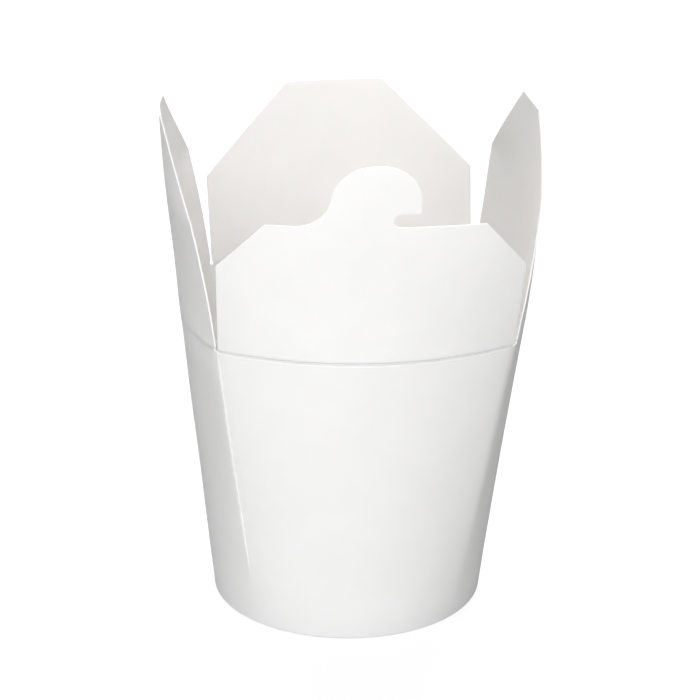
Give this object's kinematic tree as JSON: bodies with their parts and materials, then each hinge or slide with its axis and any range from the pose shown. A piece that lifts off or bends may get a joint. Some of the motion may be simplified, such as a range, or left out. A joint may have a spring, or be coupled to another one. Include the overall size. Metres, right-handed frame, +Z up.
{
  "type": "noodle takeaway box",
  "caption": "Empty white paperboard takeaway box, round at the base and square at the open mouth, with standing lid flaps and a hooked tongue on the front one.",
  "frame": {"origin": "on the table, under the middle of the whole object's bounding box, flaps included; the axis of the round base stands at x 0.0022, y 0.00285", "axes": "+Z up, -Y towards the flap with the hooked tongue, +X to the right seen from that side"},
  "size_m": [0.111, 0.1314, 0.1554],
  "materials": {
    "white_board": "satin"
  },
  "bodies": {
    "body": {"wall": "white_board", "base": "white_board"},
    "front_flap": {"flap_front": "white_board"},
    "back_flap": {"flap_back": "white_board"},
    "left_flap": {"flap_left": "white_board"},
    "right_flap": {"flap_right": "white_board"}
  },
  "joints": [
    {"name": "front_crease", "type": "hinge", "parent": "body", "child": "front_flap", "pos_m": [0.0022, -0.03995, 0.0935], "axis": [-1, 0, 0], "range_deg": [0, 65]},
    {"name": "back_crease", "type": "hinge", "parent": "body", "child": "back_flap", "pos_m": [0.0022, 0.04565, 0.0935], "axis": [1, 0, 0], "range_deg": [0, 62]},
    {"name": "left_crease", "type": "hinge", "parent": "body", "child": "left_flap", "pos_m": [-0.0406, 0.00285, 0.0935], "axis": [0, 1, 0], "range_deg": [0, 104]},
    {"name": "right_crease", "type": "hinge", "parent": "body", "child": "right_flap", "pos_m": [0.045, 0.00285, 0.0935], "axis": [0, -1, 0], "range_deg": [0, 90]}
  ]
}
